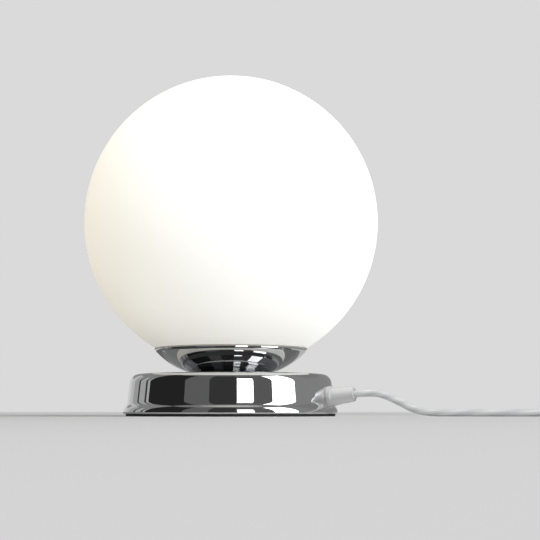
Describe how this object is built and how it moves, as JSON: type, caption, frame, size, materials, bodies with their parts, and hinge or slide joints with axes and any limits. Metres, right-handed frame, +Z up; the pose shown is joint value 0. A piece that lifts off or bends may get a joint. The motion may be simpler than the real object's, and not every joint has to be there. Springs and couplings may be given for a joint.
{
  "type": "glass globe table lamp",
  "caption": "Table lamp: opal glass ball in a plated cup on a low plated drum base, with a clear mains lead, in-line rocker switch and flat plug.",
  "frame": {"origin": "centre of the base pad's underside, on the surface that the lamp stands on", "axes": "+Z up along the lamp's axis; -Y towards the viewer of the picture; +X to the right, the side where the lead leaves"},
  "size_m": [0.5459, 0.2, 0.2317],
  "materials": {
    "plated_sheet": "bright plating",
    "base_rubber": "matt",
    "plate_paint": "matt black",
    "zinc_steel": "zinc plated",
    "spring_steel": "bright rolled",
    "opal_glass": "satin opal",
    "gasket_silicone": "pale translucent",
    "holder_plastic": "satin",
    "holder_thread": "bright",
    "contact_brass": "bright",
    "cap_insulator": "glassy black",
    "bulb_plastic": "smooth",
    "bulb_diffuser": "satin opal",
    "board_finish": "white solder resist",
    "clear_fitting": "clear, smoky",
    "clear_lead": "clear over metal strands",
    "wire_brown": "smooth",
    "wire_blue": "smooth",
    "switch_plastic": "clear, smoky",
    "rocker_plastic": "smooth",
    "plug_plastic": "clear, smoky",
    "pin_metal": "nickel plated",
    "pin_sleeve": "smooth"
  },
  "bodies": {
    "lamp": {"base_cover": "plated_sheet", "globe_cup": "plated_sheet", "base_pad": "base_rubber", "base_plate": "plate_paint", "plate_bracket": "zinc_steel", "plate_screws": "zinc_steel", "threaded_tube": "zinc_steel", "base_washer": "zinc_steel", "base_nut": "zinc_steel", "cup_washer": "zinc_steel", "cup_nut": "zinc_steel", "terminal_screws": "zinc_steel", "switch_screws": "zinc_steel", "globe_clip": "spring_steel", "rim_gasket": "gasket_silicone", "holder_cap": "holder_plastic", "holder_shell": "holder_plastic", "holder_insert": "holder_plastic", "holder_sleeve": "holder_thread", "centre_contact": "contact_brass", "holder_terminals": "contact_brass", "switch_contacts": "contact_brass", "strain_relief": "clear_fitting", "strain_relief_nut": "clear_fitting", "cord_inner_end": "clear_lead", "cord_lead": "clear_lead", "cord_to_coil": "clear_lead", "cord_coil": "clear_lead", "cord_to_plug": "clear_lead", "wire_live": "wire_brown", "wire_neutral": "wire_blue", "switch_base": "switch_plastic", "switch_cover": "switch_plastic", "plug_body": "plug_plastic", "plug_pins": "pin_metal", "plug_sleeves": "pin_sleeve"},
    "globe": {"glass_globe": "opal_glass"},
    "bulb": {"bulb_diffuser": "bulb_diffuser", "bulb_housing": "bulb_plastic", "led_board": "board_finish", "bulb_screw_shell": "holder_thread", "bulb_insulator": "cap_insulator", "bulb_tip": "contact_brass"},
    "rocker": {"switch_rocker": "rocker_plastic"}
  },
  "joints": [
    {"name": "globe_lift", "type": "slide", "parent": "lamp", "child": "globe", "axis": [0, 0, 1], "range_m": [0, 0.115], "deforming": ["globe_clip"]},
    {"name": "bulb_out", "type": "slide", "parent": "lamp", "child": "bulb", "axis": [0, 0, 1], "range_m": [0, 0.03]},
    {"name": "rocker_tilt", "type": "hinge", "parent": "lamp", "child": "rocker", "pos_m": [0.306, -0.001, 0.0112], "axis": [0, 1, 0], "range_deg": [0, 14]}
  ]
}
